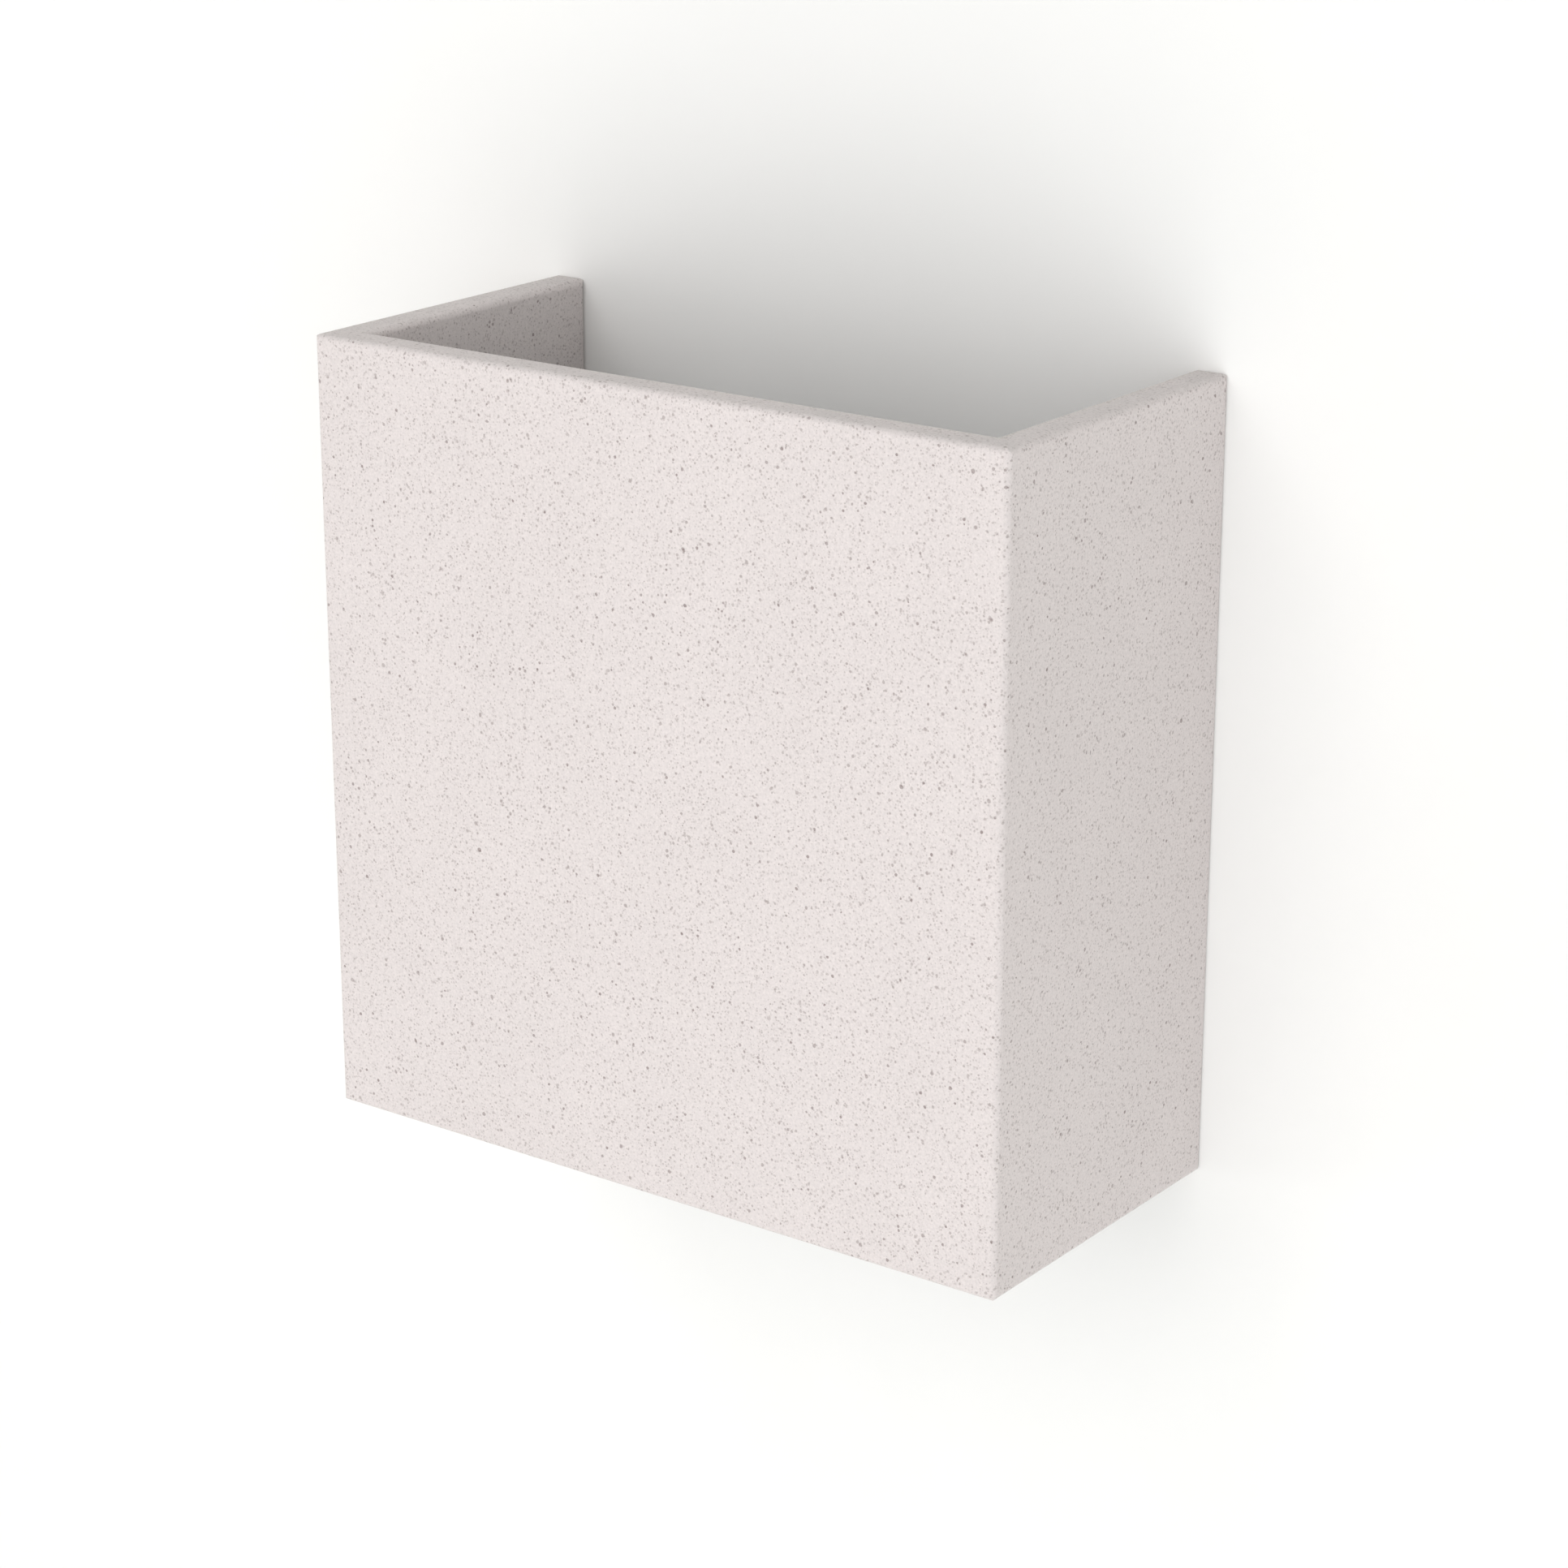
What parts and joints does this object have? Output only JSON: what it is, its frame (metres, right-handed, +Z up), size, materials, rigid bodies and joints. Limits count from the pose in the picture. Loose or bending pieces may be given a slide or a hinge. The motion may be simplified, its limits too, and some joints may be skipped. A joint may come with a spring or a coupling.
{
  "type": "wall-mounted ashtray bin",
  "caption": "Wall-mounted ashtray bin: a three-sided speckled cast-stone shell around a lift-out steel liner with a hinged, perforated ash plate.",
  "frame": {"origin": "centre of the wall fixing pattern on the wall plane, which is also the middle of the shell's width and height", "axes": "+X to the viewer's right, +Y into the wall, +Z up"},
  "size_m": [0.26, 0.12, 0.26],
  "materials": {
    "cast_stone": "fine-ground, matt, pinkish off-white with grey speckle",
    "galvanised": "hot-dip galvanised, dull",
    "stainless": "brushed, satin",
    "zinc_plated": "bright zinc plate",
    "brass": "machined",
    "polyamide": "moulded, matt",
    "rubber": "moulded, matt",
    "lock_metal": "satin nickel plate",
    "grip_vinyl": "soft, slightly glossy"
  },
  "bodies": {
    "housing": {"shell": "cast_stone", "shell_inserts": "brass", "wall_plate": "galvanised", "shelf": "galvanised", "clinch_studs": "zinc_plated", "shelf_washers": "zinc_plated", "shelf_nuts": "zinc_plated", "shell_screws": "zinc_plated", "shell_washers": "zinc_plated", "liner_guides": "polyamide", "guide_screws": "zinc_plated", "rubber_buffers": "rubber", "lock_body": "lock_metal", "lock_nut": "zinc_plated"},
    "lock": {"lock_plug": "lock_metal", "lock_cam": "zinc_plated", "cam_screw": "zinc_plated"},
    "liner": {"liner": "stainless", "latch_hook": "stainless", "liner_hinge_leaves": "stainless", "liner_leaf_rivets": "stainless", "hinge_pins": "stainless", "handle_bushes": "polyamide", "handle_pegs": "stainless"},
    "ash_plate": {"ash_plate": "stainless", "plate_hinge_leaves": "stainless", "plate_leaf_rivets": "stainless", "plate_bumpers": "rubber"},
    "handle": {"wire_handle": "stainless", "handle_clips": "zinc_plated", "handle_grip": "grip_vinyl"}
  },
  "joints": [
    {"name": "liner_lift", "type": "slide", "parent": "housing", "child": "liner", "axis": [0, 0, 1], "range_m": [0, 0.24]},
    {"name": "ash_plate_hinge", "type": "hinge", "parent": "liner", "child": "ash_plate", "pos_m": [0, -0.0122, 0.085], "axis": [-1, 0, 0], "range_deg": [0, 95]},
    {"name": "handle_fold", "type": "hinge", "parent": "liner", "child": "handle", "pos_m": [0, -0.057, 0.068], "axis": [-1, 0, 0], "range_deg": [0, 70]},
    {"name": "lock_turn", "type": "hinge", "parent": "housing", "child": "lock", "pos_m": [0, -0.057, -0.1085], "axis": [0, 0, -1], "range_deg": [0, 90]}
  ]
}
